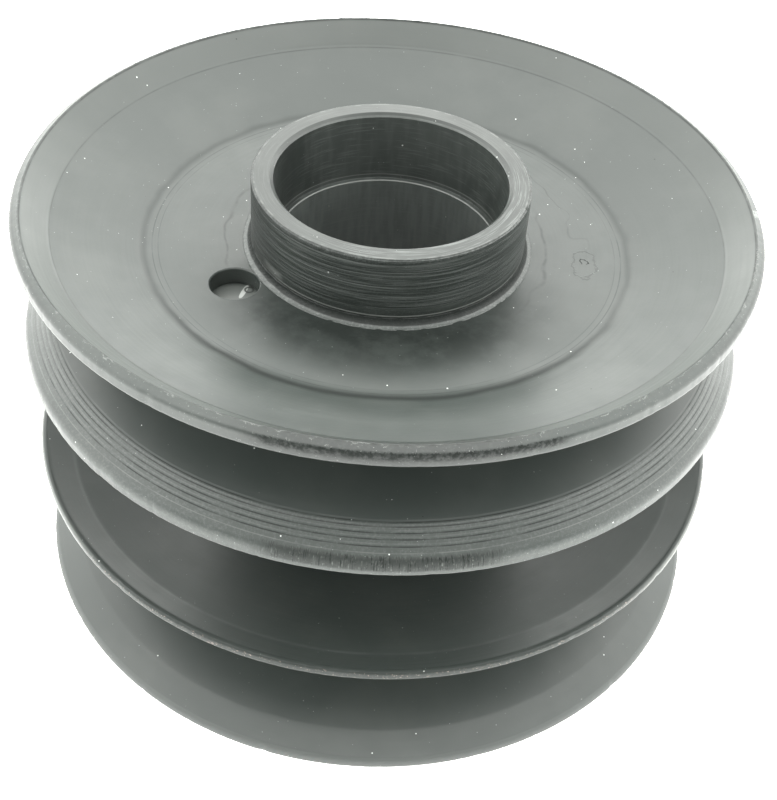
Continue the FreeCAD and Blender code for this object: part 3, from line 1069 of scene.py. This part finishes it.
def end_face(paint):
    """Turned rings on the end face, and a ragged dark edge round it."""
    facing = paint.remap(paint.z, HUB_LENGTH - 0.15, HUB_LENGTH - 0.08)
    rings = paint.noise(paint.around(3.0, paint.product(paint.radius, 6.0)), 1.0, 2.0, 0.7)
    paint.raise_by(paint.product(facing, paint.math("SUBTRACT", rings, 0.5), 0.01))
    worked = paint.remap(paint.toward(-50, 80), 0.0, 0.7, 0.2, 1.0)
    paint.tint(paint.product(facing, paint.remap(rings, 0.52, 0.62), worked, 0.8), TOOL_LINE_AND_HIGHLIGHT)
    paint.tint(paint.product(facing, paint.remap(rings, 0.48, 0.38), worked, 0.5), GRIME_AND_SHADE)
    rim = paint.remap(paint.radius, HUB_RADIUS - 0.42, HUB_RADIUS - 0.3)
    top = paint.remap(paint.z, HUB_LENGTH - 0.6, HUB_LENGTH - 0.4)
    ragged = paint.remap(paint.noise(paint.place, 1.5, 4.0, 0.75), 0.44, 0.54)
    share = paint.product(rim, top, ragged, 0.45)
    paint.tint(share, GRIME_AND_SHADE, 0.5)
    paint.dull(share, 0.15)
    bright = paint.near(paint.radius, HUB_RADIUS - 0.5, 0.2)
    broken = paint.remap(paint.noise(paint.place, 0.5, 2.0), 0.45, 0.6)
    paint.tint(paint.product(facing, bright, broken, 0.3), WORN_AND_HIGHLIGHT, 0.4)


def bore_streaks_and_light(paint):
    """Runs and scratches in the paint of the seat, painted light on the back wall and deeper down the
    bore, painted shade on the left, and painted highlight lines at the ledge.
    """
    inside = paint.remap(paint.radius, SEAT_RADIUS + 0.2, SEAT_RADIUS + 0.4, 1.0, 0.0)
    drip_at = paint.combine(paint.product(paint.azimuth, 16.0), paint.product(paint.z, 0.12), 0.0)
    drip = paint.noise(drip_at, 1.0, 3.0)
    paint.tint(paint.product(inside, paint.remap(drip, 0.42, 0.66), 0.75), HUB_THIN_PAINT, 0.42)
    scratch = paint.noise(paint.around(3.0, paint.product(paint.z, 3.5)), 1.0, 2.0, 0.7)
    paint.tint(paint.product(inside, paint.remap(scratch, 0.52, 0.66), 0.5), TOOL_LINE_AND_HIGHLIGHT, 0.3)
    # Painted light on the back wall of the bore.
    paint.tint(paint.product(inside, paint.toward(90, 75), 0.3), BORE_PAINTED_LIGHT)
    # Painted shade on the left of the bore.
    paint.tint(paint.product(inside, paint.toward(175, 50), 0.6), GRIME_AND_SHADE)
    ledge = HUB_LENGTH - SEAT_DEPTH
    # Painted light deeper down the bore.
    painted_light_deep = paint.product(inside, paint.remap(paint.z, ledge - 0.4, ledge - 0.1, 1.0, 0.0))
    paint.tint(paint.product(painted_light_deep, paint.remap(drip, 0.3, 0.7, 0.5, 0.9)), BORE_PAINTED_LIGHT, 0.45)
    # Painted highlight lines at the ledge and just above it.
    lip = paint.remap(paint.radius, BORE_RADIUS + 0.3, BORE_RADIUS + 0.22, 0.0, 1.0)
    at_ledge = paint.near(paint.z, ledge, 0.22)
    paint.tint(paint.product(lip, at_ledge, 0.8), WORN_AND_HIGHLIGHT, 0.4)
    paint.tint(paint.product(inside, paint.near(paint.z, ledge + 0.75, 0.16), 0.6), WORN_AND_HIGHLIGHT, 0.4)


def weld_finish():
    """Rough weld metal: a paler toe along the web, painted shade up the hub."""
    paint = Paint("weld_paint", WELD_PAINT, WELD_ROUGHNESS)
    paint.satin(WELD_THIN_PAINT)
    scale = paint.noise(paint.place, 2.4, 3.0, 0.7)
    paint.raise_by(paint.product(paint.math("SUBTRACT", scale, 0.5), 0.06))
    paint.tint(paint.remap(scale, 0.5, 0.7, 0.0, 0.35), WORN_AND_HIGHLIGHT, 0.4)
    # Painted shade where the bead rises to the hub.
    shade_up_hub = paint.remap(paint.radius, HUB_RADIUS + 0.75, HUB_RADIUS + 0.55)
    paint.tint(paint.product(shade_up_hub, 0.85), GRIME_AND_SHADE, 0.4)
    paint.dull(shade_up_hub, 0.2)
    return paint.finish()


# ---------------------------------------------------------------- assembly

hub_material = hub_finish()
weld_material = weld_finish()
PIECES = [(make_hub(), "hub", "hub_paint", hub_material)]
FLANGES = (
    ("upper", "top", False, disc_one_relief, disc_one_marks),
    ("upper", "bottom", True, disc_two_relief, disc_two_marks),
    ("lower", "top", False, disc_three_relief, disc_three_marks),
    ("lower", "bottom", True, disc_four_relief, disc_four_marks),
)
WELD_SEEDS = range(60, 64)
for seed, (level, side, over, relief, marks) in zip(WELD_SEEDS, FLANGES):
    flange = f"{level}_sheave_{side}_flange"
    weld = f"{level}_sheave_{side}_weld"
    coat = disc_paint(f"{level}_{side}_disc_paint", marks)
    PIECES.append((make_flange(flange, level, over, relief), flange, "flange_paint", coat))
    PIECES.append((make_weld(weld, flange, level, over, seed), weld, "weld_paint", weld_material))

top_disc = PIECES[1][0]
cut_hole(top_disc, record_mount("locating_hole"), TOP_WEB - LEVELS["upper"]["sheet"], TOP_WEB)

for piece, node, slot, material in PIECES:
    piece.data.materials.append(material)
    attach(piece, "root")
    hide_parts(node)

# ---------------------------------------------------------------- stage

# Strengths are of the world light, the opening's edges are cosines from its middle.
FLOOR_HALF = 3.0
TENT_COLOUR = (0.99, 1.0, 0.972, 1)
TENT_STRENGTH = 4.55
OPENING_STRENGTH = 1.2
OPENING_AZIMUTH = math.radians(2)
OPENING_EDGE = (0.38, 0.47)
TABLE_GLOW = 1.4


def make_floor():
    """A light table: a pale floor that glows a little."""
    half = FLOOR_HALF
    corners = [(-half, -half, 0), (half, -half, 0), (half, half, 0), (-half, half, 0)]
    mesh = bpy.data.meshes.new("floor")
    mesh.from_pydata(corners, [], [(0, 1, 2, 3)])
    floor = bpy.data.objects.new("floor", mesh)
    bpy.context.scene.collection.objects.link(floor)
    material = bpy.data.materials.new("pale_floor")
    graph = Graph(material)
    shader = graph.add("ShaderNodeBsdfPrincipled", {
        "Base Color": (0.85, 0.85, 0.85, 1),
        "Roughness": 0.9,
        "Emission Color": TENT_COLOUR,
        "Emission Strength": TABLE_GLOW,
    })
    graph.put(graph.add("ShaderNodeOutputMaterial").inputs["Surface"], shader.outputs[0])
    mesh.materials.append(material)


def make_studio():
    """A white light tent all round, with a wide dim opening on the front side."""
    world = bpy.data.worlds.new("studio")
    bpy.context.scene.world = world
    graph = Graph(world)
    direction = graph.add("ShaderNodeTexCoord").outputs["Generated"]
    opening = (math.sin(OPENING_AZIMUTH), -math.cos(OPENING_AZIMUTH), 0)
    facing = graph.add("ShaderNodeVectorMath", {0: direction, 1: opening}, operation="DOT_PRODUCT")
    tent = graph.remap(facing.outputs["Value"], *OPENING_EDGE, TENT_STRENGTH, OPENING_STRENGTH)
    seen = graph.add("ShaderNodeLightPath").outputs["Is Camera Ray"]
    strength = graph.math("MAXIMUM", tent, graph.math("MULTIPLY", seen, TENT_STRENGTH))
    background = graph.add("ShaderNodeBackground", {"Color": TENT_COLOUR, "Strength": strength})
    graph.put(graph.add("ShaderNodeOutputWorld").inputs["Surface"], background.outputs[0])


make_floor()
make_studio()
bpy.context.scene.view_settings.view_transform = "Standard"

# ---------------------------------------------------------------- camera

AIM_HEIGHT = 79.35
CAMERA_DISTANCE = 242.119
CAMERA_ELEVATION = math.radians(34.07)
CAMERA_YAW = math.radians(-0.485)
CAMERA_PITCH = math.radians(-8.148)
CAMERA_ROLL = math.radians(3.967)
LENS = 63.04
SENSOR = 36.0
CLIP = (0.01, 20.0)

camera = bpy.data.objects.new("camera", bpy.data.cameras.new("camera"))
bpy.context.scene.collection.objects.link(camera)
bpy.context.scene.camera = camera
camera.data.lens = LENS
camera.data.sensor_width = SENSOR
camera.data.clip_start, camera.data.clip_end = CLIP
back = Vector((0, -math.cos(CAMERA_ELEVATION), math.sin(CAMERA_ELEVATION)))
camera.location = (Vector((0, 0, AIM_HEIGHT)) + back * CAMERA_DISTANCE) * MM
level_view = (-back).to_track_quat("-Z", "Y").to_matrix().to_4x4()
yaw = Matrix.Rotation(CAMERA_YAW, 4, "Y")
pitch = Matrix.Rotation(CAMERA_PITCH, 4, "X")
roll = Matrix.Rotation(CAMERA_ROLL, 4, "Z")
trim = yaw @ pitch @ roll
camera.rotation_mode = "QUATERNION"
camera.rotation_quaternion = (level_view @ trim).to_quaternion()
